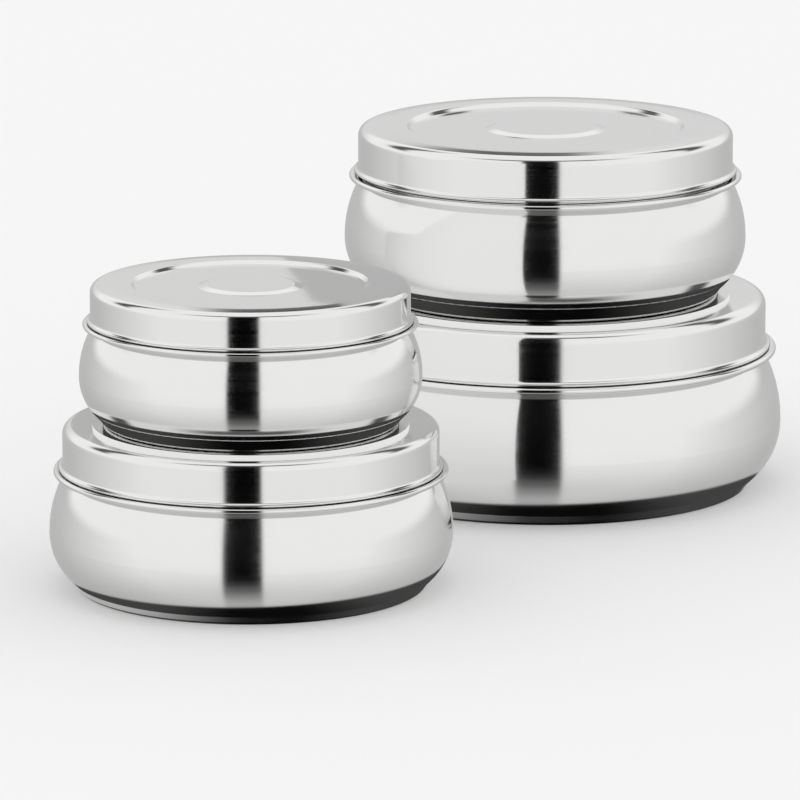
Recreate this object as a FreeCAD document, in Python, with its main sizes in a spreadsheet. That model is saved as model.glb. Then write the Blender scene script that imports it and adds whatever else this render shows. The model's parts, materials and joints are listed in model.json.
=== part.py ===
"""Set of four round belly boxes for spices (masala dabba) in spun stainless steel.

Two stacks of two boxes stand side by side: small on medium, and large on extra large.
Every box is a bowl with a foot, a lid that slips over the bowl's neck, seven cups and a spoon.

Frame: millimetres, +Z up, +Y to the back, origin on the table under the middle of the set.
"""
import FreeCAD, Part
import math
import os
import Sketcher

# Sizes that all four boxes share.
COMMON = {
    "sheet": 0.6,               # thickness of the spun sheet
    "lid_clearance": 0.3,       # radial gap between the neck and the lid's skirt
    "seat_gap": 0.3,            # gap between the bead and the lid's edge
    "base_rise": 1.2,           # how far the base panel stands above the foot ring
    "foot_ring": 2.3,           # width of the ring that touches the table
    "panel_slope": 1.0,         # run of the sloping steps pressed into a lid
    "cup_gap": 0.5,             # gap between two neighbouring cups at their rims
    "cup_wall_gap": 0.8,        # gap between the outer cups and the neck
    "cup_base_gap": 0.5,        # margin of flat base left outside the outer cups
    "cup_sheet": 0.5,           # thickness of the cups' sheet
    "cup_rim": 1.6,             # height of a cup's rolled rim
    "cup_corner": 2.5,          # radius of a cup's bottom corner
    "spoon_sheet": 0.8,         # thickness of the spoon
    "spoon_rest": 0.3,          # gap between the spoon and the rims that it lies on
    "spoon_neck": 6.0,          # width of the spoon's handle where it leaves the bowl
    "spoon_tip": 9.0,           # width of the handle at its round end
    "stack_side": 108.0,        # distance between the two stacks along X
    "stack_back": 170.0,        # distance between the two stacks along Y
}

# Sizes that each box has for itself, for the small, medium, large and extra large box.
BOX_NAMES = ("small", "medium", "large", "extra_large")
CARRIED = {"medium": "small", "extra_large": "large"}     # lower box: the box that it carries
PER_BOX = {
    "belly_radius": (61.0, 72.0, 76.0, 90.0),       # widest radius of the bowl
    "belly_height": (17.1, 20.2, 21.6, 25.3),       # height of that widest circle
    "belly_overhang": (5.0, 5.7, 6.1, 6.9),         # belly radius less neck radius
    "foot_inset": (8.2, 9.7, 10.4, 12.2),           # belly radius less foot radius
    "foot_height": (2.8, 3.3, 3.5, 4.1),            # height of the foot's wall
    "foot_draft": (1.5, 1.8, 1.9, 2.3),             # widening of the foot's wall upwards
    "bead_reach": (3.7, 4.1, 4.4, 4.9),             # how far the bead stands out of the neck
    "bead_height": (1.6, 1.9, 2.0, 2.3),            # height of the bead
    "box_height": (50.4, 59.5, 63.6, 74.3),         # height of the closed box
    "lid_height": (13.5, 16.0, 17.1, 20.0),         # height of the lid
    "lid_flare": (1.2, 1.4, 1.5, 1.8),              # radius of the turned-out edge
    "shoulder_radius": (2.8, 3.3, 3.5, 4.1),        # radius of the lid's shoulder
    "panel_inset": (15.1, 1.3, 19.3, 3.0),          # lid's ring, inside neck or carried foot
    "panel_depth": (1.2, 1.4, 1.5, 1.8),            # depth of that panel
    "boss_radius": (15.9, 18.7, 20.0, 23.4),        # radius of the raised centre
    "boss_height": (0.7, 0.9, 0.9, 1.1),            # height of the raised centre
    "headroom": (11.6, 13.8, 14.8, 17.4),           # space between cup rims and lid
    "spoon_length": (84.0, 96.0, 102.0, 116.0),     # whole length of the spoon
    "spoon_radius": (12.0, 13.5, 14.2, 16.0),       # radius of the spoon's round bowl
    "spoon_depth": (4.0, 4.5, 4.8, 5.2),            # depth of that bowl
}

CUPS_ON_RING = 6
SHEET_NAME = "Sizes"


class Length:
    """A length that knows its value now and the spreadsheet expression that gives it."""

    def __init__(self, value, text):
        self.value = float(value)
        self.text = text

    def __add__(self, other):
        other = length(other)
        return Length(self.value + other.value, f"({self.text} + {other.text})")

    def __sub__(self, other):
        other = length(other)
        return Length(self.value - other.value, f"({self.text} - {other.text})")

    def __mul__(self, other):
        other = length(other)
        return Length(self.value * other.value, f"({self.text} * {other.text})")

    def __truediv__(self, other):
        other = length(other)
        return Length(self.value / other.value, f"({self.text} / {other.text})")


def length(value):
    """Return a plain number as a Length."""
    return value if isinstance(value, Length) else Length(value, repr(float(value)))


ZERO = length(0)


class Box:
    """The lengths of one box, by name, with those that follow from the spreadsheet's."""

    def __init__(self, name):
        column = BOX_NAMES.index(name)
        for key, value in COMMON.items():
            setattr(self, key, Length(value, f"{SHEET_NAME}.{key}"))
        for key, values in PER_BOX.items():
            setattr(self, key, Length(values[column], f"{SHEET_NAME}.{name}_{key}"))
        self.name = name
        self.neck_radius = self.belly_radius - self.belly_overhang
        self.mouth_radius = self.neck_radius - self.sheet
        self.mouth_height = self.box_height - self.shoulder_radius
        self.skirt_radius = self.neck_radius + self.lid_clearance + self.sheet
        self.edge_height = self.box_height - self.lid_height
        self.bead_top = self.edge_height - self.seat_gap
        self.foot_radius = self.belly_radius - self.foot_inset
        self.base_radius = self.foot_radius - self.foot_ring - self.base_rise - self.sheet
        self.base_top = self.base_rise + self.sheet
        self.cup_radius = (self.mouth_radius - self.cup_wall_gap - self.cup_gap) / 3
        self.cup_ring = self.cup_radius * 2 + self.cup_gap
        self.cup_base_radius = self.base_radius - self.cup_ring - self.cup_base_gap
        self.cup_top = self.box_height - self.panel_depth - self.sheet - self.headroom
        self.panel_radius = self.panel_limit() - self.panel_inset

    def panel_limit(self):
        """Return the radius that the lid's ring is measured in from.

        A lid that carries a box keeps its ring under that box's foot, and a top lid is
        measured from its own neck.
        """
        if self.name not in CARRIED:
            return self.neck_radius
        carried = Box(CARRIED[self.name])
        return carried.foot_radius - carried.foot_ring - self.panel_slope


class To:
    """One step of an outline: a line, or an arc when a place of its centre is given."""

    def __init__(self, across, up, centre_across=None, centre_up=None, left_turn=True):
        self.across = length(across)
        self.up = length(up)
        self.centre_across = None if centre_across is None else length(centre_across)
        self.centre_up = None if centre_up is None else length(centre_up)
        self.left_turn = left_turn

    def is_arc(self):
        return self.centre_across is not None or self.centre_up is not None

    def vector(self):
        return FreeCAD.Vector(self.across.value, self.up.value, 0)


def arc_centre(start, step):
    """Return the centre that is as far from both ends of an arc, on the line given."""
    end = step.vector()
    middle = (start + end) * 0.5
    chord = end - start
    if step.centre_up is not None:
        up = step.centre_up.value
        across = middle.x - (up - middle.y) * chord.y / chord.x
    else:
        across = step.centre_across.value
        up = middle.y - (across - middle.x) * chord.x / chord.y
    return FreeCAD.Vector(across, up, 0)


def add_arc(sketch, start, step):
    """Draw an arc, and return its index and the numbers of its first and last point."""
    end = step.vector()
    centre = arc_centre(start, step)
    circle = Part.Circle(centre, FreeCAD.Vector(0, 0, 1), (start - centre).Length)
    first, last = (start, end) if step.left_turn else (end, start)
    angles = [math.atan2(point.y - centre.y, point.x - centre.x) for point in (first, last)]
    index = sketch.addGeometry(Part.ArcOfCircle(circle, angles[0], angles[1]))
    return (index, 1, 2) if step.left_turn else (index, 2, 1)


def hold(sketch, kind, geometry, point, place):
    """Hold one coordinate of a point at a length read from the spreadsheet."""
    if place is ZERO:
        axis = -2 if kind == "DistanceX" else -1
        sketch.addConstraint(Sketcher.Constraint("PointOnObject", geometry, point, axis))
        return
    constraint = Sketcher.Constraint(kind, -1, 1, geometry, point, place.value)
    index = sketch.addConstraint(constraint)
    sketch.setExpression(f"Constraints[{index}]", place.text)


def outline(body, name, role, steps):
    """Draw a closed outline on one of the body's own planes, held by named lengths."""
    sketch = body.newObject("Sketcher::SketchObject", f"{name}_outline")
    plane = next(item for item in body.Origin.OriginFeatures if item.Role == role)
    sketch.AttachmentSupport = (plane, [""])
    sketch.MapMode = "FlatFace"
    drawn = []
    start = steps[-1].vector()
    for step in steps:
        if step.is_arc():
            drawn.append(add_arc(sketch, start, step))
        else:
            line = Part.LineSegment(start, step.vector())
            drawn.append((sketch.addGeometry(line), 1, 2))
        start = step.vector()
    for number, step in enumerate(steps):
        index, _, last = drawn[number]
        following, first, _ = drawn[(number + 1) % len(drawn)]
        sketch.addConstraint(Sketcher.Constraint("Coincident", index, last, following, first))
        hold(sketch, "DistanceX", index, last, step.across)
        hold(sketch, "DistanceY", index, last, step.up)
        if step.centre_across is not None:
            hold(sketch, "DistanceX", index, 3, step.centre_across)
        if step.centre_up is not None:
            hold(sketch, "DistanceY", index, 3, step.centre_up)
    return sketch


def new_body(document, name):
    """Add a body whose Label is the name of the piece."""
    body = document.addObject("PartDesign::Body", name)
    body.Label = name
    return body


def spin(body, name, steps):
    """Turn an outline once round the body's upright axis."""
    sketch = outline(body, name, "XZ_Plane", steps)
    turned = body.newObject("PartDesign::Revolution", f"{name}_turned")
    turned.Profile = sketch
    turned.ReferenceAxis = (sketch, ["V_Axis"])
    turned.Angle = 360
    return turned


def place(body, x, y, z):
    """Tie the body's place to named lengths."""
    for axis, distance in (("x", x), ("y", y), ("z", z)):
        body.setExpression(f"Placement.Base.{axis}", distance.text)


def offset_on_arc(centre, radius, point, inwards):
    """Return the point of an arc moved towards the arc's centre by a thickness."""
    share = (radius - inwards) / radius
    across = centre[0] + (point[0] - centre[0]) * share
    up = centre[1] + (point[1] - centre[1]) * share
    return across, up


def belly_arc(box, across, up):
    """Return centre and radius of the arc from a point to the belly's widest circle."""
    bulge = box.belly_radius - across
    rise = box.belly_height - up
    radius = (bulge * bulge + rise * rise) / (bulge * 2)
    return (box.belly_radius - radius, box.belly_height), radius


def make_bowl(document, box, where):
    """Make the bowl: foot, belly of two arcs, bead and straight neck, all one sheet."""
    sheet = box.sheet
    crease = (box.foot_radius + box.foot_draft, box.foot_height)
    throat = (box.neck_radius, box.bead_top - box.bead_height)
    lower_centre, lower_radius = belly_arc(box, *crease)
    upper_centre, upper_radius = belly_arc(box, *throat)
    inner_crease = offset_on_arc(lower_centre, lower_radius, crease, sheet)
    inner_throat = offset_on_arc(upper_centre, upper_radius, throat, sheet)
    waist = box.belly_height
    ring_inside = box.foot_radius - box.foot_ring
    bead_axis = box.neck_radius + box.bead_reach - box.bead_height / 2
    body = new_body(document, f"{box.name}_bowl")
    spin(body, body.Label, [
        To(ZERO, box.base_rise),
        To(ring_inside - box.base_rise, box.base_rise),
        To(ring_inside, ZERO),
        To(box.foot_radius, ZERO),
        To(*crease),
        To(box.belly_radius, waist, centre_up=waist),
        To(*throat, centre_up=waist),
        To(bead_axis, throat[1]),
        To(bead_axis, box.bead_top, centre_across=bead_axis),
        To(box.neck_radius, box.bead_top),
        To(box.neck_radius, box.mouth_height),
        To(box.mouth_radius, box.mouth_height),
        To(box.mouth_radius, box.bead_top),
        To(*inner_throat),
        To(box.belly_radius - sheet, waist, centre_up=waist, left_turn=False),
        To(*inner_crease, centre_up=waist, left_turn=False),
        To(box.foot_radius - sheet, sheet),
        To(ring_inside, sheet),
        To(box.base_radius, box.base_top),
        To(ZERO, box.base_top),
    ])
    place(body, *where)
    return body


def make_lid(document, box, where):
    """Make the lid: raised centre, sunken panel, flat ring, shoulder, skirt, turned edge."""
    sheet = box.sheet
    top = box.box_height
    panel = top - box.panel_depth
    boss = panel + box.boss_height
    boss_foot = box.boss_radius + box.panel_slope
    ring_inside = box.panel_radius + box.panel_slope
    ring_outside = box.skirt_radius - box.shoulder_radius
    flare_top = box.edge_height + sheet + box.lid_flare
    flare_radius = box.skirt_radius + box.lid_flare
    inner_skirt = box.skirt_radius - sheet
    body = new_body(document, f"{box.name}_lid")
    spin(body, body.Label, [
        To(ZERO, boss - sheet),
        To(box.boss_radius, boss - sheet),
        To(boss_foot, panel - sheet),
        To(box.panel_radius, panel - sheet),
        To(ring_inside, top - sheet),
        To(ring_outside, top - sheet),
        To(inner_skirt, box.mouth_height, centre_across=ring_outside, left_turn=False),
        To(inner_skirt, flare_top),
        To(flare_radius, box.edge_height, centre_up=flare_top),
        To(flare_radius, box.edge_height + sheet),
        To(box.skirt_radius, flare_top, centre_up=flare_top, left_turn=False),
        To(box.skirt_radius, box.mouth_height),
        To(ring_outside, top, centre_across=ring_outside),
        To(ring_inside, top),
        To(box.panel_radius, panel),
        To(boss_foot, panel),
        To(box.boss_radius, boss),
        To(ZERO, boss),
    ])
    place(body, *where)
    return body


def make_cup(document, box, where, number):
    """Make one cup: flat base, rounded corner, leaning wall and rolled rim.

    Cup 1 stands in the middle of the box, and the others on a ring round it.
    """
    sheet = box.cup_sheet
    height = box.cup_top - box.base_top
    corner = box.cup_corner
    under_rim = height - box.cup_rim
    roll = box.cup_rim / 2
    wall_top = box.cup_radius - box.cup_rim
    body = new_body(document, f"{box.name}_cup_{number}")
    spin(body, body.Label, [
        To(ZERO, ZERO),
        To(box.cup_base_radius - corner, ZERO),
        To(box.cup_base_radius, corner, centre_up=corner),
        To(wall_top, under_rim),
        To(box.cup_radius - roll, under_rim),
        To(box.cup_radius - roll, height, centre_across=box.cup_radius - roll),
        To(wall_top - sheet, height),
        To(wall_top - sheet, under_rim),
        To(box.cup_base_radius - sheet, corner),
        To(box.cup_base_radius - corner, sheet, centre_up=corner, left_turn=False),
        To(ZERO, sheet),
    ])
    x, y, z = where
    if number > 1:
        angle = math.radians((number - 2) * 360 / CUPS_ON_RING)
        x = x + box.cup_ring * round(math.cos(angle), 9)
        y = y + box.cup_ring * round(math.sin(angle), 9)
    place(body, x, y, z + box.base_top)
    return body


def make_spoon(document, box, where):
    """Make the spoon: a shallow round bowl and a flat handle that widens to a round end.

    It lies on the cups' rims, tipped so that its bowl and its handle's end both touch.
    """
    sheet = box.spoon_sheet
    depth = box.spoon_depth
    half_neck = box.spoon_neck / 2
    half_tip = box.spoon_tip / 2
    reach = box.spoon_length - box.spoon_radius - half_tip
    body = new_body(document, f"{box.name}_spoon")
    spin(body, body.Label, [
        To(ZERO, ZERO),
        To(box.spoon_radius, depth, centre_across=ZERO),
        To(box.spoon_radius - sheet, depth),
        To(ZERO, sheet, centre_across=ZERO, left_turn=False),
    ])
    handle_start = box.spoon_radius - sheet
    handle = outline(body, f"{body.Label}_handle", "XY_Plane", [
        To(handle_start, ZERO - half_neck),
        To(reach, ZERO - half_tip),
        To(reach, half_tip, centre_across=reach),
        To(handle_start, half_neck),
    ])
    handle.setExpression("AttachmentOffset.Base.z", (depth - sheet).text)
    pad = body.newObject("PartDesign::Pad", f"{body.Label}_handle_pad")
    pad.Profile = handle
    pad.setExpression("Length", sheet.text)
    body.Tip = pad
    tip = box.spoon_length - box.spoon_radius
    sine = (depth - sheet) / tip
    body.Placement.Rotation = FreeCAD.Rotation(FreeCAD.Vector(0, 1, 0), 1)
    body.setExpression("Placement.Rotation.Angle", f"asin({sine.text})")
    x, y, z = where
    start = x - box.spoon_length / 2 + box.spoon_radius
    place(body, start, y, z + box.cup_top + box.spoon_rest)
    return body


def fill_sheet(document):
    """Write every driving size into the spreadsheet as a plain number with a name."""
    sheet = document.addObject("Spreadsheet::Sheet", SHEET_NAME)
    sizes = dict(COMMON)
    for key, values in PER_BOX.items():
        sizes.update({f"{name}_{key}": value for name, value in zip(BOX_NAMES, values)})
    for row, (alias, value) in enumerate(sizes.items(), start=1):
        sheet.set(f"A{row}", alias)
        sheet.set(f"B{row}", str(value))
        sheet.setAlias(f"B{row}", alias)
    document.recompute()


def stack_places(boxes):
    """Return where each box's foot stands, with the whole set centred on the origin."""
    left, right = boxes["medium"], boxes["extra_large"]
    shift = left.belly_radius - right.belly_radius
    x_left = (shift - left.stack_side) / 2
    y_left = (shift - left.stack_back) / 2
    x_right = x_left + left.stack_side
    y_right = y_left + left.stack_back
    return {
        "medium": (x_left, y_left, ZERO),
        "small": (x_left, y_left, left.box_height),
        "extra_large": (x_right, y_right, ZERO),
        "large": (x_right, y_right, right.box_height),
    }


def check_document(document, pieces):
    """Stop if any object failed or any piece is not one valid solid."""
    for item in document.Objects:
        if "Invalid" in item.State or "Error" in item.State:
            raise RuntimeError(f"{item.Label} failed: {item.State}")
    for piece in pieces:
        shape = piece.Shape
        if shape.isNull() or not shape.isValid() or len(shape.Solids) != 1:
            raise RuntimeError(f"{piece.Label} is not one valid solid")


def build():
    """Build the set, check it and write one STEP file for each piece."""
    document = FreeCAD.newDocument("masala_dabba_set")
    fill_sheet(document)
    boxes = {name: Box(name) for name in BOX_NAMES}
    places = stack_places(boxes)
    pieces = []
    for name, box in boxes.items():
        where = places[name]
        pieces.append(make_bowl(document, box, where))
        pieces.append(make_lid(document, box, where))
        for number in range(1, CUPS_ON_RING + 2):
            pieces.append(make_cup(document, box, where, number))
        pieces.append(make_spoon(document, box, where))
    document.recompute()
    check_document(document, pieces)
    os.makedirs("parts", exist_ok=True)
    for piece in pieces:
        piece.Shape.exportStep(os.path.join("parts", f"{piece.Label}.step"))


build()
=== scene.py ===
"""Set of four round belly boxes for spices in polished stainless steel, in two stacks of two.

Every shell is a profile turned once round its own upright axis. The frame gives where each box
stands and how large it is, and the settings below give the shares and the sheet.
"""

import json
import math

import bpy
import numpy as np
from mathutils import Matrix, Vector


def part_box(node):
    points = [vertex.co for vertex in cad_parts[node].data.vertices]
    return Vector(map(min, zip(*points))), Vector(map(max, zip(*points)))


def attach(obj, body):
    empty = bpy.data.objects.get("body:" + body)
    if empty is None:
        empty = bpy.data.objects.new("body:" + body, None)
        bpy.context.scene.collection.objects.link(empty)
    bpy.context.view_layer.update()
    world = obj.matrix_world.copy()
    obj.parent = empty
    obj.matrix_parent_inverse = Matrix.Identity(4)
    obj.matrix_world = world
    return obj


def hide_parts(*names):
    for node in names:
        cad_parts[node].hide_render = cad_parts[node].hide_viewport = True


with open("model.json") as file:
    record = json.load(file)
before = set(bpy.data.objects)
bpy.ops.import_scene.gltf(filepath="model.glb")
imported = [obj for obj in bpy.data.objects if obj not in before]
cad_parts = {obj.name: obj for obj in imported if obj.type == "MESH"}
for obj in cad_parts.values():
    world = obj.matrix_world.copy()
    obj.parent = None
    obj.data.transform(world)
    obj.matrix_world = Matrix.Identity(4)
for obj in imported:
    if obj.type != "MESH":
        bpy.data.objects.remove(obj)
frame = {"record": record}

bl_info = {
    "name": "Steel Spice Box Set",
    "version": (1, 0, 0),
    "blender": (4, 5, 0),
    "location": "View3D > Sidebar > Spice Boxes",
    "description": "Builds two stacks of spun steel spice boxes with lids, cups and spoons",
    "category": "Add Mesh",
}

BOXES = ("small", "medium", "large", "extra_large")
UPPER_BOXES = ("small", "large")
CUPS_IN_A_BOX = 7
HALF_ROUND = 0.499  # corner radius over thickness that rounds an edge fully
EDGE_ROUND = 0.45  # the same for a cut edge, which keeps a narrow flat
FLOOR_WHITE = 0.97  # share of the light that the floor's paper gives back


# ---------------------------------------------------------------- colours and nodes

def linear(hex_colour):
    """Return the linear colour, with alpha, of an sRGB hex value."""
    shares = [int(hex_colour[at:at + 2], 16) / 255 for at in (1, 3, 5)]
    turned = [c / 12.92 if c <= 0.04045 else ((c + 0.055) / 1.055) ** 2.4 for c in shares]
    return (*turned, 1.0)


def add_node(tree, kind, inputs=(), **settings):
    """Add a node, set its properties, then set or link its inputs by number or name."""
    node = tree.nodes.new(kind)
    for name, value in settings.items():
        setattr(node, name, value)
    pairs = inputs.items() if isinstance(inputs, dict) else enumerate(inputs)
    for key, value in pairs:
        if isinstance(value, bpy.types.NodeSocket):
            tree.links.new(value, node.inputs[key])
        elif value is not None:
            node.inputs[key].default_value = value
    return node


# ---------------------------------------------------------------- settings

class BoxShape(bpy.types.PropertyGroup):
    """Sizes of a box as shares of its belly radius, and of its sheet in metres."""

    sheet: bpy.props.FloatProperty(
        name="Sheet", description="Thickness of the spun sheet",
        default=0.0006, unit="LENGTH")
    lid_gap: bpy.props.FloatProperty(
        name="Lid Gap", description="Radial gap between the neck and the lid's skirt",
        default=0.0003, unit="LENGTH")
    base_rise: bpy.props.FloatProperty(
        name="Base Rise", description="How far the base panel stands above the foot ring",
        default=0.0012, unit="LENGTH")
    foot_ring: bpy.props.FloatProperty(
        name="Foot Ring", description="Width of the ring that touches the table",
        default=0.0023, unit="LENGTH")
    panel_slope: bpy.props.FloatProperty(
        name="Panel Slope", description="Run of the step down to the lid's panel",
        default=0.0015, unit="LENGTH")
    boss_slope: bpy.props.FloatProperty(
        name="Boss Slope", description="Run of the step up to the lid's raised centre",
        default=0.0030, unit="LENGTH")
    foot_radius: bpy.props.FloatProperty(
        name="Foot Radius", description="Radius of the foot over the belly's",
        default=0.857, subtype="FACTOR")
    crease_radius: bpy.props.FloatProperty(
        name="Crease Radius", description="Radius where the foot meets the belly",
        default=0.890, subtype="FACTOR")
    crease_height: bpy.props.FloatProperty(
        name="Crease Height", description="Height where the foot meets the belly",
        default=0.046, subtype="FACTOR")
    belly_height: bpy.props.FloatProperty(
        name="Belly Height", description="Height of the widest circle",
        default=0.281, subtype="FACTOR")
    skirt_radius: bpy.props.FloatProperty(
        name="Skirt Radius", description="Outer radius of the lid's skirt",
        default=0.932, subtype="FACTOR")
    bead_radius: bpy.props.FloatProperty(
        name="Bead Radius", description="Outer radius of the rolled bead",
        default=0.977, subtype="FACTOR")
    bead_top: bpy.props.FloatProperty(
        name="Bead Top", description="Height of the bead's upper side",
        default=0.600, subtype="FACTOR")
    bead_height: bpy.props.FloatProperty(
        name="Bead Height", description="Height of the rolled bead",
        default=0.026, subtype="FACTOR")
    flare: bpy.props.FloatProperty(
        name="Flare", description="Radius of the lid's turned-out edge",
        default=0.020, subtype="FACTOR")
    shoulder: bpy.props.FloatProperty(
        name="Shoulder", description="Radius of the lid's shoulder",
        default=0.046, subtype="FACTOR")
    crown_radius: bpy.props.FloatProperty(
        name="Crown Radius", description="Radius where the lid's flat ring starts to fall away",
        default=0.805, subtype="FACTOR")
    crown_drop: bpy.props.FloatProperty(
        name="Crown Drop", description="How far the ring falls by the skirt",
        default=0.009, subtype="FACTOR")
    foot_round: bpy.props.FloatProperty(
        name="Foot Round", description="Radius of the foot's outer edge",
        default=0.034, subtype="FACTOR")
    panel_radius: bpy.props.FloatProperty(
        name="Panel Radius", description="Radius of the lid's sunken panel",
        default=0.670, subtype="FACTOR")
    panel_depth: bpy.props.FloatProperty(
        name="Panel Depth", description="Depth of the lid's sunken panel",
        default=0.020, subtype="FACTOR")
    boss_radius: bpy.props.FloatProperty(
        name="Boss Radius", description="Radius of the lid's raised centre",
        default=0.260, subtype="FACTOR")
    boss_height: bpy.props.FloatProperty(
        name="Boss Height", description="Height of the lid's raised centre",
        default=0.012, subtype="FACTOR")
    segments: bpy.props.IntProperty(
        name="Segments", description="Steps round a bowl or a lid", default=224)


class CupShape(bpy.types.PropertyGroup):
    """Sizes of the spice cups."""

    sheet: bpy.props.FloatProperty(
        name="Sheet", description="Thickness of a cup's sheet", default=0.0005, unit="LENGTH")
    rim: bpy.props.FloatProperty(
        name="Rim", description="Height of the rolled rim", default=0.0016, unit="LENGTH")
    corner: bpy.props.FloatProperty(
        name="Corner", description="Radius of the bottom corner", default=0.0025, unit="LENGTH")
    base_share: bpy.props.FloatProperty(
        name="Base Share", description="Base radius over rim radius",
        default=0.645, subtype="FACTOR")
    segments: bpy.props.IntProperty(
        name="Segments", description="Steps round a cup", default=96)


class SpoonShape(bpy.types.PropertyGroup):
    """Sizes of the spoons."""

    sheet: bpy.props.FloatProperty(
        name="Sheet", description="Thickness of a spoon", default=0.0008, unit="LENGTH")
    neck: bpy.props.FloatProperty(
        name="Neck", description="Width of the handle at the bowl", default=0.006, unit="LENGTH")
    tip: bpy.props.FloatProperty(
        name="Tip", description="Width of the handle at its end", default=0.009, unit="LENGTH")


class SteelFinish(bpy.types.PropertyGroup):
    """Colours and polish of the steel."""

    polished: bpy.props.FloatVectorProperty(
        name="Polished Steel", description="Colour of the polished shells",
        size=4, subtype="COLOR", default=linear("#e3e3e2"))
    satin: bpy.props.FloatVectorProperty(
        name="Satin Steel", description="Colour of the cups",
        size=4, subtype="COLOR", default=linear("#d6d6d4"))
    floor: bpy.props.FloatVectorProperty(
        name="Floor", description="Colour of the pale floor",
        size=4, subtype="COLOR", default=linear("#f6f6f6"))


class StageView(bpy.types.PropertyGroup):
    """Place of the camera and the studio round the boxes."""

    distance: bpy.props.FloatProperty(
        name="Distance", description="From the left stack's foot to the camera",
        default=2.4, unit="LENGTH")
    elevation: bpy.props.FloatProperty(
        name="Elevation", description="Of the camera above the table, from that foot",
        default=math.radians(13.448), subtype="ANGLE")
    tilt: bpy.props.FloatProperty(
        name="Tilt", description="How far the camera looks down from level",
        default=math.radians(11.877), subtype="ANGLE")
    aside: bpy.props.FloatProperty(
        name="Aside", description="How far right of the left stack's axis the camera stands",
        default=0.0530, unit="LENGTH")
    lens: bpy.props.FloatProperty(
        name="Lens", description="Focal length on a 36 mm wide sensor, in millimetres",
        default=302.0)


# ---------------------------------------------------------------- profiles and surfaces

def round_corners(corners, arc_step=math.radians(5)):
    """Return the points of an outline whose corners are rounded.

    A corner is (across, up, radius). Its arc is the circle of that radius that touches both
    sides: it starts radius / tan(half the inner angle) before the corner.
    """
    points = []
    for number, (across, up, radius) in enumerate(corners):
        here = np.array((across, up))
        if radius == 0 or number in (0, len(corners) - 1):
            points.append(here)
            continue
        back = np.array(corners[number - 1][:2]) - here
        ahead = np.array(corners[number + 1][:2]) - here
        back /= np.linalg.norm(back)
        ahead /= np.linalg.norm(ahead)
        half = math.acos(np.clip(back @ ahead, -1, 1)) / 2
        middle = (back + ahead) / np.linalg.norm(back + ahead)
        centre = here + middle * radius / math.sin(half)
        first = here + back * radius / math.tan(half) - centre
        turn = math.pi - 2 * half
        side = np.sign(first[0] * middle[1] - first[1] * middle[0]) * -1
        steps = max(3, math.ceil(turn / arc_step))
        angles = math.atan2(first[1], first[0]) + side * np.linspace(0, turn, steps + 1)
        points.extend(centre + radius * np.stack((np.cos(angles), np.sin(angles)), 1))
    return np.array(points)


def outline_normals(points):
    """Return the outward normal at each point of an outline with its material on the left.

    It is the mean of the normals of the two sides, each weighted by the side's length, so a
    long flat side keeps its own normal right up to its rounded corner.
    """
    sides = np.diff(points, axis=0)
    across = np.stack((sides[:, 1], -sides[:, 0]), 1)
    total = np.vstack((across[:1], across[:-1] + across[1:], across[-1:]))
    return total / np.linalg.norm(total, axis=1, keepdims=True)


def turn_outline(points, centre, segments):
    """Turn an outline round the upright line through centre.

    Point j of the outline at angle a lies at (x0 + r cos a, y0 + r sin a, z0 + z).
    """
    angles = np.arange(segments) * 2 * math.pi / segments
    circle = np.stack((np.cos(angles), np.sin(angles)), 1)
    normals = outline_normals(points)

    def spread(rows):
        flat = rows[:, None, :1] * circle[None]
        return np.concatenate((flat, np.repeat(rows[:, None, 1:], segments, 1)), 2)

    return spread(points) + np.array(centre), spread(normals)


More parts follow.
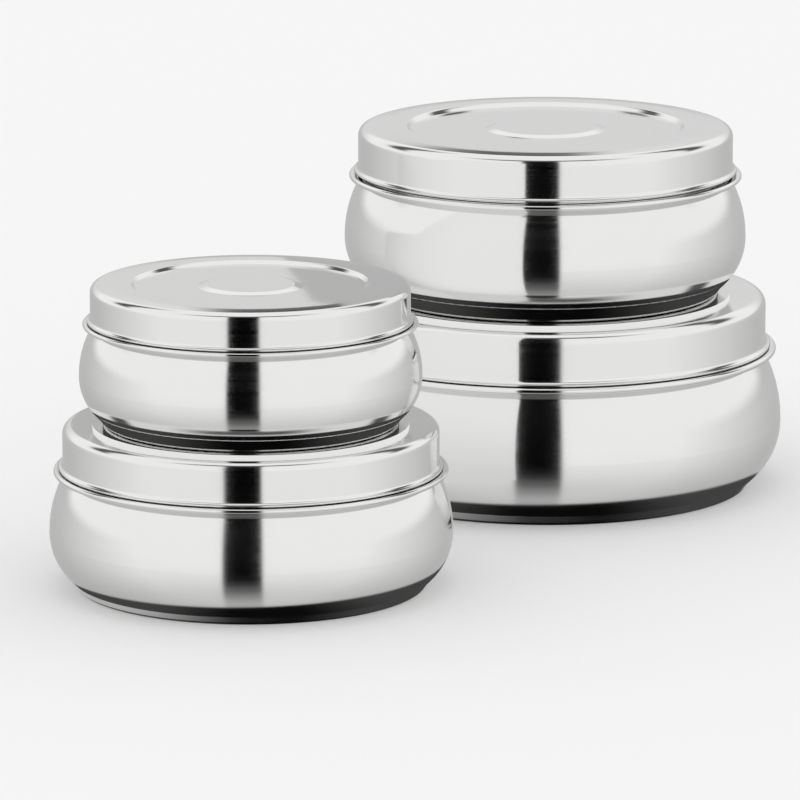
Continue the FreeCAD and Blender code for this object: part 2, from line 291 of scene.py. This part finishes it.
def make_surface(name, grid, material, normals=None):
    """Make a closed mesh from a grid of rows that run round, whose end rows are poles.

    Row j and step i give a quad with row j + 1 and step i + 1, and each pole gives a fan. The
    UV map holds metres: u runs round, measured at the widest row, and v runs along the rows.
    """
    rows, around, _ = grid.shape
    inner = grid[1:-1].reshape(-1, 3)
    points = np.vstack((grid[0, :1], inner, grid[-1, :1]))
    last = len(points) - 1
    step = np.arange(around)
    after = (step + 1) % around
    row = np.arange(rows - 3)[:, None] * around + 1
    quads = np.stack((row + step, row + after, row + around + after, row + around + step), 2)
    end_row = (rows - 3) * around + 1
    start_fan = np.stack((np.zeros(around, int), 1 + after, 1 + step), 1)
    end_fan = np.stack((end_row + step, end_row + after, np.full(around, last)), 1)
    faces = [*start_fan.tolist(), *quads.reshape(-1, 4).tolist(), *end_fan.tolist()]
    mesh = bpy.data.meshes.new(name)
    mesh.from_pydata(points, [], faces)

    middle = grid.mean(1)
    widest = np.linalg.norm(grid - middle[:, None], axis=2).mean(1).max()
    along = np.concatenate(([0], np.cumsum(np.linalg.norm(np.diff(grid[:, 0], axis=0), axis=1))))
    round_way = np.arange(around + 1) * widest * 2 * math.pi / around
    u0, u1 = round_way[:-1], round_way[1:]
    first = np.stack(((u0 + u1) / 2, np.full(around, along[0]), u1, np.full(around, along[1]),
                      u0, np.full(around, along[1])), 1)
    low = np.repeat(along[1:-2, None], around, 1)
    high = np.repeat(along[2:-1, None], around, 1)
    u0_all, u1_all = np.broadcast_to(u0, low.shape), np.broadcast_to(u1, low.shape)
    body = np.stack((u0_all, low, u1_all, low, u1_all, high, u0_all, high), 2)
    final = np.stack((u0, np.full(around, along[-2]), u1, np.full(around, along[-2]),
                      (u0 + u1) / 2, np.full(around, along[-1])), 1)
    uv_map = mesh.uv_layers.new(name="metres")
    uv_map.data.foreach_set("uv", np.concatenate((first.ravel(), body.ravel(), final.ravel())))

    mesh.polygons.foreach_set("use_smooth", np.ones(len(faces), bool))
    if normals is not None:
        flat = np.vstack((normals[0, :1], normals[1:-1].reshape(-1, 3), normals[-1, :1]))
        flat[0, :2] = 0
        flat[-1, :2] = 0
        mesh.normals_split_custom_set_from_vertices(flat / np.linalg.norm(flat, axis=1)[:, None])
    mesh.materials.append(material)
    mesh.validate()
    piece = bpy.data.objects.new(name, mesh)
    bpy.context.scene.collection.objects.link(piece)
    return piece


def place_piece(piece, node):
    """Let a piece stand for its CAD node, which it hides, and ride on that node's body."""
    body = next(n for n, held in frame["record"]["behaviour"]["bodies"].items() if node in held)
    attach(piece, body)
    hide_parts(node)


class BoxSizes:
    """The lengths of one box in metres, from its nodes in the frame and the settings."""

    def __init__(self, name, shape):
        bowl_low, bowl_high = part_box(f"{name}_bowl")
        lid_low, lid_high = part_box(f"{name}_lid")
        self.centre = ((bowl_low.x + bowl_high.x) / 2, (bowl_low.y + bowl_high.y) / 2, bowl_low.z)
        self.belly = (bowl_high.x - bowl_low.x) / 2
        self.mouth = bowl_high.z - bowl_low.z
        self.top = lid_high.z - bowl_low.z
        self.edge = lid_low.z - bowl_low.z
        self.skirt = shape.skirt_radius * self.belly
        self.neck = self.skirt - shape.sheet - shape.lid_gap
        self.shape = shape

    def share(self, name):
        """Return a setting that is a share of the belly radius, in metres."""
        return getattr(self.shape, name) * self.belly


# ---------------------------------------------------------------- the pieces' outlines

def belly_corner(belly, waist, across, up):
    """Return the corner whose rounding is the belly's arc from its waist to an edge point.

    The arc touches the upright line at the waist and passes the edge point, so its radius is
    (bulge^2 + rise^2) / (2 bulge). It is drawn a little tighter, to leave the edge its crease.
    """
    bulge = belly - across
    rise = up - waist
    radius = (bulge ** 2 + rise ** 2) / (2 * bulge)
    half_turn = math.asin(min(1, abs(rise) / radius)) / 2
    tightening = 0.985
    return belly, waist + math.copysign(radius * math.tan(half_turn), rise), radius * tightening


def bowl_outline(box):
    """Outline of a bowl: base, foot, belly, bead and neck outside, then the same inside."""
    shape, sheet = box.shape, box.shape.sheet
    foot, waist = box.share("foot_radius"), box.share("belly_height")
    crease = (box.share("crease_radius"), box.share("crease_height"))
    bead, bead_top = box.share("bead_radius"), box.share("bead_top")
    bead_low = bead_top - box.share("bead_height")
    roll = box.share("bead_height") * HALF_ROUND
    ring = foot - shape.foot_ring
    inner = box.neck - sheet
    return round_corners([
        (0, shape.base_rise, 0),
        (ring - shape.base_rise, shape.base_rise, sheet),
        (ring, 0, sheet),
        (foot, 0, box.share("foot_round")),
        (*crease, sheet),
        belly_corner(box.belly, waist, *crease),
        belly_corner(box.belly, waist, box.neck, bead_low),
        (box.neck, bead_low, sheet / 2),
        (bead, bead_low, roll),
        (bead, bead_top, roll),
        (box.neck, bead_top, sheet / 2),
        (box.neck, box.mouth, sheet * EDGE_ROUND),
        (inner, box.mouth, sheet * EDGE_ROUND),
        (inner, bead_low, sheet),
        belly_corner(box.belly - sheet, waist, inner, bead_low),
        belly_corner(box.belly - sheet, waist, crease[0] - sheet, crease[1] + sheet / 2),
        (crease[0] - sheet, crease[1] + sheet / 2, sheet),
        (foot - sheet, sheet, sheet / 2),
        (ring, sheet, sheet / 2),
        (ring - shape.base_rise, shape.base_rise + sheet, sheet / 2),
        (0, shape.base_rise + sheet, 0),
    ])


def lid_outline(box):
    """Outline of a lid: underside and inner skirt, turned-out edge, outer skirt and top."""
    shape, sheet = box.shape, box.shape.sheet
    panel = box.top - box.share("panel_depth")
    boss, boss_top = box.share("boss_radius"), panel + box.share("boss_height")
    hollow, edge = box.share("panel_radius"), box.share("panel_radius") + shape.panel_slope
    boss_foot = boss + shape.boss_slope
    shoulder, flare = box.share("shoulder"), box.share("flare")
    rim = box.skirt + flare
    inner = box.skirt - sheet
    soft = 2 * sheet
    crown, drop = box.share("crown_radius"), box.share("crown_drop")
    return round_corners([
        (0, boss_top - sheet, 0),
        (boss, boss_top - sheet, sheet),
        (boss_foot, panel - sheet, soft),
        (hollow, panel - sheet, soft),
        (edge, box.top - sheet, sheet),
        (crown, box.top - sheet, crown),
        (inner, box.top - drop - sheet, shoulder - sheet),
        (inner, box.edge, flare + sheet),
        (rim, box.edge, sheet * EDGE_ROUND),
        (rim, box.edge + sheet, sheet * EDGE_ROUND),
        (box.skirt, box.edge + sheet, flare * 0.98),
        (box.skirt, box.top - drop, shoulder),
        (crown, box.top, crown),
        (edge, box.top, soft),
        (hollow, panel, sheet),
        (boss_foot, panel, sheet),
        (boss, boss_top, soft),
        (0, boss_top, 0),
    ])


def cup_outline(radius, height, cup):
    """Outline of a cup: base, rounded corner, leaning wall and rolled rim, then inside."""
    base = radius * cup.base_share
    wall = radius - cup.rim
    under = height - cup.rim
    roll = cup.rim * HALF_ROUND
    return round_corners([
        (0, 0, 0),
        (base, 0, cup.corner),
        (wall, under, cup.sheet / 2),
        (radius, under, roll),
        (radius, height, roll),
        (wall - cup.sheet, height, cup.sheet * 0.8),
        (base - cup.sheet, cup.sheet, cup.corner - cup.sheet),
        (0, cup.sheet, 0),
    ])


def spoon_grid(length, bowl, depth, sheet, neck, tip, rows=140, around=48):
    """Return the grid of a spoon whose bowl's middle lies on the origin.

    x runs from -bowl to length - bowl. The half width is the larger of the bowl's circle and
    the handle's line, which ends in a half circle. The height is depth * (distance from the
    middle / bowl)^2 in the bowl and depth on the handle. A little width, which fades off over
    4 mm, fills the corner between the two. Round each row the section is a flat oval: across
    as cos, up as sin to a low power, so its faces are flat and its edges round.
    """
    x = -bowl + length * (1 - np.cos(np.linspace(0, math.pi, rows))) / 2
    end = length - bowl
    circle = np.sqrt(np.clip(bowl ** 2 - x ** 2, 0, None))
    handle = (neck + (tip - neck) * np.clip(x / end, 0, 1)) / 2
    cap = np.sqrt(np.clip((tip / 2) ** 2 - np.clip(x - (end - tip / 2), 0, None) ** 2, 0, None))
    handle = np.where(x > 0, np.minimum(handle, cap), 0)
    blend, fill = 0.004, 0.3
    both = (x > 0) & (circle > 0)
    width = np.maximum(circle, handle)
    width += both * fill * blend * np.exp(-np.abs(circle - handle) / blend)
    width[[0, -1]] = 0
    angles = np.linspace(0, 2 * math.pi, around, endpoint=False)
    y = width[:, None] * np.cos(angles)
    away = np.sqrt(x[:, None] ** 2 + y ** 2) / bowl
    mean = depth * np.clip(away, 0, 1) ** 2
    thick = sheet / 2 * np.minimum(1, width / sheet)[:, None]
    z = mean + sheet / 2 + thick * np.sign(np.sin(angles)) * np.abs(np.sin(angles)) ** 0.35
    return np.stack((np.repeat(x[:, None], around, 1), y, z), 2)


# ---------------------------------------------------------------- materials

def steel_material(name, colour, roughness, spin_height, spin_spacing):
    """Return spun steel: a metal whose fine rings run round the piece.

    Spinning and polishing leave rings too fine to see one by one. They blur a reflection
    along the outline more than round it, so the roughness and the small bump follow v alone,
    and a slow cloudy change of polish lies over them. Ring spacing is real size in metres,
    drawn about three times as coarse as the real 0.2 mm so that it shows at all.
    """
    material = bpy.data.materials.new(name)
    material.use_nodes = True
    tree = material.node_tree
    tree.nodes.clear()
    place = add_node(tree, "ShaderNodeTexCoord")
    uv = add_node(tree, "ShaderNodeUVMap", uv_map="metres")
    stretch = add_node(tree, "ShaderNodeMapping", {"Vector": uv.outputs["UV"],
                                                   "Scale": (12.0, 1 / spin_spacing, 1.0)})
    rings = add_node(tree, "ShaderNodeTexNoise", {"Vector": stretch.outputs["Vector"],
                                                  "Scale": 1.0, "Detail": 3.0,
                                                  "Roughness": 0.6})
    cloud_size = 0.030
    cloud = add_node(tree, "ShaderNodeTexNoise", {"Vector": place.outputs["Object"],
                                                  "Scale": 1 / cloud_size, "Detail": 3.0})
    ring_rough = add_node(tree, "ShaderNodeMapRange", {
        "Value": rings.outputs["Fac"], "From Min": 0.3, "From Max": 0.7,
        "To Min": roughness * 0.75, "To Max": roughness * 1.25})
    cloud_rough = add_node(tree, "ShaderNodeMapRange", {
        "Value": cloud.outputs["Fac"], "From Min": 0.3, "From Max": 0.7,
        "To Min": 0.85, "To Max": 1.15})
    rough = add_node(tree, "ShaderNodeMath", (ring_rough.outputs["Result"],
                                              cloud_rough.outputs["Result"]),
                     operation="MULTIPLY")
    bump = add_node(tree, "ShaderNodeBump", {"Height": rings.outputs["Fac"],
                                             "Strength": 1.0, "Distance": spin_height})
    shader = add_node(tree, "ShaderNodeBsdfPrincipled", {
        "Base Color": tuple(colour), "Metallic": 1.0, "Roughness": rough.outputs["Value"],
        "Normal": bump.outputs["Normal"]})
    add_node(tree, "ShaderNodeOutputMaterial", {"Surface": shader.outputs["BSDF"]})
    return material


def find_or_make(name, *details):
    """Return a steel material by name, made the first time that it is asked for."""
    return bpy.data.materials.get(name) or steel_material(name, *details)


def polished_steel(finish):
    """Mirror-polished stainless steel: bright and slightly soft, rings only just visible."""
    return find_or_make("polished stainless steel", finish.polished, 0.10, 1.5e-7, 0.0006)


def satin_steel(finish):
    """Satin stainless steel as drawn and tumbled: a broad soft shine with no clear image."""
    return find_or_make("satin stainless steel", finish.satin, 0.26, 6e-7, 0.0006)


# ---------------------------------------------------------------- operators

def make_shells(scene, kind, outline):
    """Make the bowl or the lid of every box from the outline that outline(box) gives."""
    for name in BOXES:
        box = BoxSizes(name, scene.spice_box_shape)
        grid, normals = turn_outline(outline(box), box.centre, box.shape.segments)
        material = polished_steel(scene.spice_box_finish)
        piece = make_surface(f"{name}_{kind}_shell", grid, material, normals)
        place_piece(piece, f"{name}_{kind}")


class SPICEBOX_OT_bowls(bpy.types.Operator):
    """Make the four bowls"""

    bl_idname = "spice_box.bowls"
    bl_label = "Bowls"

    def execute(self, context):
        make_shells(context.scene, "bowl", bowl_outline)
        return {"FINISHED"}


class SPICEBOX_OT_lids(bpy.types.Operator):
    """Make the four lids"""

    bl_idname = "spice_box.lids"
    bl_label = "Lids"

    def execute(self, context):
        make_shells(context.scene, "lid", lid_outline)
        return {"FINISHED"}


class SPICEBOX_OT_cups(bpy.types.Operator):
    """Make seven cups for each box"""

    bl_idname = "spice_box.cups"
    bl_label = "Cups"

    def execute(self, context):
        scene = context.scene
        cup = scene.spice_cup_shape
        material = satin_steel(scene.spice_box_finish)
        for name in BOXES:
            for number in range(1, CUPS_IN_A_BOX + 1):
                node = f"{name}_cup_{number}"
                low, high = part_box(node)
                centre = ((low.x + high.x) / 2, (low.y + high.y) / 2, low.z)
                points = cup_outline((high.x - low.x) / 2, high.z - low.z, cup)
                grid, normals = turn_outline(points, centre, cup.segments)
                place_piece(make_surface(f"{node}_shell", grid, material, normals),
                            node)
        return {"FINISHED"}


class SPICEBOX_OT_spoons(bpy.types.Operator):
    """Make one spoon for each box"""

    bl_idname = "spice_box.spoons"
    bl_label = "Spoons"

    def execute(self, context):
        scene = context.scene
        spoon = scene.spice_spoon_shape
        material = polished_steel(scene.spice_box_finish)
        for name in BOXES:
            node = f"{name}_spoon"
            low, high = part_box(node)
            bowl = (high.y - low.y) / 2
            length = high.x - low.x
            tilt = math.atan((high.z - low.z - spoon.sheet) / length)
            depth = high.z - low.z - bowl * math.sin(tilt) - spoon.sheet / 2
            grid = spoon_grid(length, bowl, depth, spoon.sheet, spoon.neck, spoon.tip)
            slope = depth / (length - bowl)
            grid[..., 2] -= slope * grid[..., 0]
            grid += np.array((low.x + bowl, (low.y + high.y) / 2, low.z))
            place_piece(make_surface(f"{node}_sheet", grid, material), node)
        return {"FINISHED"}


class SPICEBOX_OT_stage(bpy.types.Operator):
    """Make the pale floor, the studio round it and the camera"""

    bl_idname = "spice_box.stage"
    bl_label = "Stage"

    def execute(self, context):
        scene = context.scene
        scene.view_settings.view_transform = "Standard"
        make_floor(scene)
        make_card()
        make_shade()
        make_studio(scene)
        make_camera(scene)
        return {"FINISHED"}


# ---------------------------------------------------------------- stage

def stage_material(name, make_shader):
    """Return a stage material whose shader comes from make_shader(tree)."""
    material = bpy.data.materials.new(name)
    material.use_nodes = True
    tree = material.node_tree
    tree.nodes.clear()
    add_node(tree, "ShaderNodeOutputMaterial", {"Surface": make_shader(tree)})
    return material


def make_sheet(name, points, faces, uv, material):
    """Make a thin sheet of the stage that only reflections show, with its UV map."""
    mesh = bpy.data.meshes.new(name)
    mesh.from_pydata(points, [], np.asarray(faces).tolist())
    uv_map = mesh.uv_layers.new(name="shade")
    uv_map.data.foreach_set("uv", np.asarray(uv)[np.asarray(faces).ravel()].ravel())
    mesh.materials.append(material)
    sheet = bpy.data.objects.new(name, mesh)
    bpy.context.scene.collection.objects.link(sheet)
    for ray in ("camera", "diffuse", "transmission", "shadow", "volume_scatter"):
        setattr(sheet, f"visible_{ray}", False)


def shade_place(tree):
    """Return the two outputs of a stage sheet's own UV map."""
    uv = add_node(tree, "ShaderNodeUVMap", uv_map="shade")
    place = add_node(tree, "ShaderNodeSeparateXYZ", (uv.outputs["UV"],))
    return place.outputs["X"], place.outputs["Y"]


def ease_between(tree, value, start, stop, before, after, kind="SMOOTHSTEP"):
    """Return an output that goes from before to after as value goes from start to stop."""
    node = add_node(tree, "ShaderNodeMapRange", {
        "Value": value, "From Min": start, "From Max": stop,
        "To Min": before, "To Max": after}, interpolation_type=kind)
    return node.outputs["Result"]


def two_sided(tree, front, back):
    """Return a shader that shows one shader on the front of a sheet and another behind."""
    side = add_node(tree, "ShaderNodeNewGeometry")
    mix = add_node(tree, "ShaderNodeMixShader", (side.outputs["Backfacing"], front, back))
    return mix.outputs["Shader"]


def glow(tree, light):
    """Return white light of a strength that is a number or an output."""
    node = add_node(tree, "ShaderNodeEmission", {"Color": (1, 1, 1, 1), "Strength": light})
    return node.outputs["Emission"]


def make_floor(scene):
    """Lay the pale matt floor. It lights nothing in the steel, where the studio stands in."""
    half = 30.0
    mesh = bpy.data.meshes.new("floor")
    corners = [(-half, -half, 0), (half, -half, 0), (half, half, 0), (-half, half, 0)]
    mesh.from_pydata(corners, [], [(0, 1, 2, 3)])
    floor = bpy.data.objects.new("floor", mesh)
    scene.collection.objects.link(floor)
    floor.visible_glossy = False
    white = (FLOOR_WHITE, FLOOR_WHITE, FLOOR_WHITE, 1)
    mesh.materials.append(stage_material("matt floor paper", lambda tree: add_node(
        tree, "ShaderNodeBsdfDiffuse", {"Color": white}).outputs["BSDF"]))


def make_card():
    """Stand a lit white card between the stacks, seen only in reflections.

    It keeps the left stack's image out of the right stack's steel, which shows plain light
    there instead. The card is dimmer at its foot, at its far end and on the side that faces
    the left stack, as the studio is there. It is low behind the left stack's lid.
    """
    def shader(tree):
        far, up = shade_place(tree)
        nearer = ease_between(tree, far, -0.15, 0.0, 0.74, 1.0)
        higher = ease_between(tree, up, 0.0, 0.06, 0.80, 1.0)
        light = add_node(tree, "ShaderNodeMath", (nearer, higher), operation="MULTIPLY")
        return two_sided(tree, glow(tree, light.outputs["Value"]), glow(tree, 0.52))

    middles, radii = [], []
    for name in ("medium", "extra_large"):
        low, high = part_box(f"{name}_bowl")
        middles.append(np.array(((low.x + high.x) / 2, (low.y + high.y) / 2)))
        radii.append((high.x - low.x) / 2)
    line = middles[1] - middles[0]
    length = np.linalg.norm(line)
    along = line / length
    across = np.array((along[1], -along[0]))
    middle = middles[0] + along * (length + radii[0] - radii[1]) / 2
    low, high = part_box("small_lid")[1].z + 0.006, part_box("large_lid")[1].z + 0.02
    back, front = -0.15, 0.046
    places = ((back, 0.0), (front, 0.0), (front, high), (-0.01, high), (-0.05, low), (back, low))
    points = [(*(middle + across * far), height) for far, height in places]
    make_sheet("white_card", points, [(5, 4, 3, 2, 1, 0)], places,
               stage_material("lit white card", shader))


def make_shade():
    """Lay a dark ring with a white collar on each lower lid, both only in reflections.

    The ring is painted shade, a dark glowing sheet: it faces up and shades the underside of the
    upper box as the studio shades the lower box's: nearly black in front and a little lighter at
    the sides. The collar is painted light, a white glowing sheet: it faces out and keeps that
    shade out of the lid round it.
    """
    def one_sided(tree, light):
        nothing = add_node(tree, "ShaderNodeBsdfTransparent", {"Color": (1, 1, 1, 1)})
        return two_sided(tree, glow(tree, light), nothing.outputs["BSDF"])

    # Painted shade: a dark glow, nearly black in front and a little lighter at the sides.
    def painted_shade_shader(tree):
        sideways, _ = shade_place(tree)
        return one_sided(tree, ease_between(tree, sideways, 0.15, 0.75, 0.003, 0.055))

    # Painted shade: the dark glowing ring, seen only in reflections.
    painted_shade_material = stage_material("painted shade ring", painted_shade_shader)
    # Painted light: the white glowing collar, seen only in reflections.
    painted_light_material = stage_material("painted light collar", lambda tree: one_sided(tree, 0.95))
    around = 96
    step = np.arange(around)
    after = (step + 1) % around
    faces = np.stack((step, around + step, around + after, after), 1)
    angles = step * 2 * math.pi / around
    circle = np.stack((np.cos(angles), np.sin(angles)), 1)
    sideways = np.abs(np.tile(circle[:, 0], 2) - 0.06)
    uv = np.stack((sideways, sideways), 1)
    for name in UPPER_BOXES:
        low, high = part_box(f"{name}_bowl")
        belly = (high.x - low.x) / 2
        centre = np.array(((low.x + high.x) / 2, (low.y + high.y) / 2))

        def rings(*places):
            return np.vstack([np.hstack((centre + circle * belly * share,
                                         np.full((around, 1), low.z + height)))
                              for share, height in places])

        make_sheet(f"{name}_dark_ring", rings((0.870, 0.0003), (0.975, 0.0003)), faces, uv,
                   painted_shade_material)
        # The collar of painted light stands round the ring of painted shade.
        make_sheet(f"{name}_collar", rings((0.925, 0.0035), (0.925, 0.0001)), faces, uv,
                   painted_light_material)


def make_studio(scene):
    """Make the light round the boxes as a pattern on the sky.

    Bright panels stand all round with a narrow gap beside the camera, which the steel shows as
    a dark upright stripe. Behind the boxes the light falls off, and a dark arch spans the back
    of the ceiling. Part of the pattern follows the way a surface must face to throw the camera's
    line that way, which is half way between the two: so the shade under the bellies is even.
    """
    world = bpy.data.worlds.new("studio")
    scene.world = world
    world.use_nodes = True
    tree = world.node_tree
    tree.nodes.clear()
    tilt = scene.spice_box_view.tilt
    forward = (0.0, math.cos(tilt), -math.sin(tilt))

    def calculate(operation, *values):
        return add_node(tree, "ShaderNodeMath", values, operation=operation).outputs["Value"]

    def ease(*values):
        return ease_between(tree, *values)

    def split(vector):
        node = add_node(tree, "ShaderNodeSeparateXYZ", {"Vector": vector})
        return [node.outputs[name] for name in "XYZ"]

    def curve(value, *stops):
        node = add_node(tree, "ShaderNodeValToRGB", {"Fac": ease(value, -1, 1, 0, 1, "LINEAR")})
        ramp = node.color_ramp
        while len(ramp.elements) < len(stops):
            ramp.elements.new(0.5)
        for element, (position, shade) in zip(ramp.elements, stops):
            element.position = (position + 1) / 2
            element.color = (shade, shade, shade, 1)
        return node.outputs["Color"]

    way = add_node(tree, "ShaderNodeTexCoord").outputs["Generated"]
    x, y, z = split(way)
    apart = add_node(tree, "ShaderNodeVectorMath", (way, forward), operation="SUBTRACT")
    facing = add_node(tree, "ShaderNodeVectorMath", (apart.outputs["Vector"],),
                      operation="NORMALIZE").outputs["Vector"]
    face_x, face_y, face_z = split(facing)

    azimuth = calculate("ARCTAN2", face_x, calculate("MULTIPLY", face_y, -1.0))
    centre, half, soft = math.radians(-1.95), math.radians(5.6), math.radians(0.6)
    off_gap = calculate("ABSOLUTE", calculate("SUBTRACT", azimuth, centre))
    gap = ease(off_gap, half - soft, half + soft, 1.0, 0.0)
    gap = calculate("MULTIPLY", gap, curve(
        z, (-0.95, 0.30), (-0.85, 0.55), (-0.70, 0.80), (-0.50, 0.95), (-0.35, 0.99),
        (-0.20, 1.0)))
    gap = calculate("MULTIPLY", gap, ease(face_z, 0.54, 0.59, 1.0, 0.0))

    level = curve(y, (-0.4, 1.0), (0.0, 0.87), (0.45, 0.72), (0.75, 0.60), (1.0, 0.53))
    high = ease(z, 0.02, 0.16, 0.0, 1.0)
    behind = calculate("SUBTRACT", calculate("MULTIPLY", y, 0.85),
                       calculate("MULTIPLY", z, 0.53))
    upper = ease(behind, 0.50, 0.74, 1.0, 0.72)
    mixed = calculate("ADD", calculate("MULTIPLY", level, calculate("SUBTRACT", 1.0, high)),
                      calculate("MULTIPLY", upper, high))
    below = curve(z, (-0.95, 0.66), (-0.75, 0.71), (-0.45, 0.84), (-0.25, 0.92), (-0.05, 1.0))
    light = calculate("MULTIPLY", calculate("MULTIPLY", mixed, below), 1.06)

    arch = ease(calculate("ABSOLUTE", calculate("SUBTRACT", behind, 0.09)),
                0.06, 0.20, 1.0, 0.0)
    arch = calculate("MULTIPLY", arch, ease(z, 0.36, 0.52, 0.0, 0.9))
    arch = calculate("MULTIPLY", arch, ease(calculate("ABSOLUTE", x), 0.20, 0.40, 0.0, 1.0))
    line = calculate("MULTIPLY", ease(face_y, -0.030, -0.042, 0.0, 1.0),
                     ease(face_y, -0.080, -0.096, 1.0, 0.0))
    line = calculate("MULTIPLY", line, ease(calculate("ABSOLUTE", face_x), 0.05, 0.09, 0.9, 0.0))
    bar = calculate("MULTIPLY", ease(calculate("ABSOLUTE", calculate("SUBTRACT", face_z, 0.60)),
                                     0.02, 0.06, 1.0, 0.0),
                    ease(calculate("ABSOLUTE", face_x), 0.15, 0.42, 0.9, 0.0))
    bar = calculate("MULTIPLY", bar, ease(face_y, -0.3, -0.4, 0.0, 1.0))

    depth = calculate("SUBTRACT", face_z, calculate("MULTIPLY", face_x, 0.07))
    shade = ease(depth, -0.590, -0.545, 0.0, 1.0)
    least = ease(calculate("ABSOLUTE", calculate("SUBTRACT", face_x, 0.06)), 0.12, 0.50,
                 0.004, 0.062)
    for dark in (gap, arch, line, bar):
        light = calculate("MULTIPLY", light, calculate("SUBTRACT", 1.0, dark))
    light = calculate("ADD", calculate("MULTIPLY", light, shade),
                      calculate("MULTIPLY", least, calculate("SUBTRACT", 1.0, shade)))
    studio = add_node(tree, "ShaderNodeBackground", {"Color": (1, 1, 1, 1), "Strength": light})
    ray = add_node(tree, "ShaderNodeLightPath")
    over_floor = ease(ray.outputs["Is Camera Ray"], 0, 1, 1 / FLOOR_WHITE, 1, "LINEAR")
    plain = add_node(tree, "ShaderNodeBackground", {
        "Color": tuple(scene.spice_box_finish.floor), "Strength": over_floor})
    mix = add_node(tree, "ShaderNodeMixShader", (ray.outputs["Is Glossy Ray"],
                                                 plain.outputs["Background"],
                                                 studio.outputs["Background"]))
    add_node(tree, "ShaderNodeOutputWorld", {"Surface": mix.outputs["Shader"]})


def make_camera(scene):
    """Stand the camera in front of the left stack, level from side to side."""
    view = scene.spice_box_view
    low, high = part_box("medium_bowl")
    foot = ((low.x + high.x) / 2, (low.y + high.y) / 2)
    data = bpy.data.cameras.new("camera")
    data.sensor_width = 36
    data.lens = view.lens
    data.clip_end = 100
    camera = bpy.data.objects.new("camera", data)
    scene.collection.objects.link(camera)
    camera.location = (foot[0] + view.aside,
                       foot[1] - view.distance * math.cos(view.elevation),
                       view.distance * math.sin(view.elevation))
    camera.rotation_euler = (math.pi / 2 - view.tilt, 0, 0)
    scene.camera = camera


# ---------------------------------------------------------------- panel and registering

class SPICEBOX_PT_panel(bpy.types.Panel):
    """Lists the pieces of the set"""

    bl_label = "Spice Boxes"
    bl_idname = "SPICEBOX_PT_panel"
    bl_space_type = "VIEW_3D"
    bl_region_type = "UI"
    bl_category = "Spice Boxes"

    def draw(self, context):
        for operator in OPERATORS:
            self.layout.operator(operator.bl_idname)


SETTINGS = {
    "spice_box_shape": BoxShape,
    "spice_cup_shape": CupShape,
    "spice_spoon_shape": SpoonShape,
    "spice_box_finish": SteelFinish,
    "spice_box_view": StageView,
}
OPERATORS = (SPICEBOX_OT_bowls, SPICEBOX_OT_lids, SPICEBOX_OT_cups, SPICEBOX_OT_spoons,
             SPICEBOX_OT_stage)


def register():
    """Register the settings, the operators and the panel."""
    for name, group in SETTINGS.items():
        bpy.utils.register_class(group)
        setattr(bpy.types.Scene, name, bpy.props.PointerProperty(type=group))
    for operator in OPERATORS:
        bpy.utils.register_class(operator)
    bpy.utils.register_class(SPICEBOX_PT_panel)


def unregister():
    """Take back what register added."""
    bpy.utils.unregister_class(SPICEBOX_PT_panel)
    for operator in reversed(OPERATORS):
        bpy.utils.unregister_class(operator)
    for name, group in reversed(SETTINGS.items()):
        delattr(bpy.types.Scene, name)
        bpy.utils.unregister_class(group)


def main():
    """Build the set."""
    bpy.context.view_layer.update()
    register()
    for operator in ("bowls", "lids", "cups", "spoons", "stage"):
        getattr(bpy.ops.spice_box, operator)()


if __name__ == "__main__":
    main()
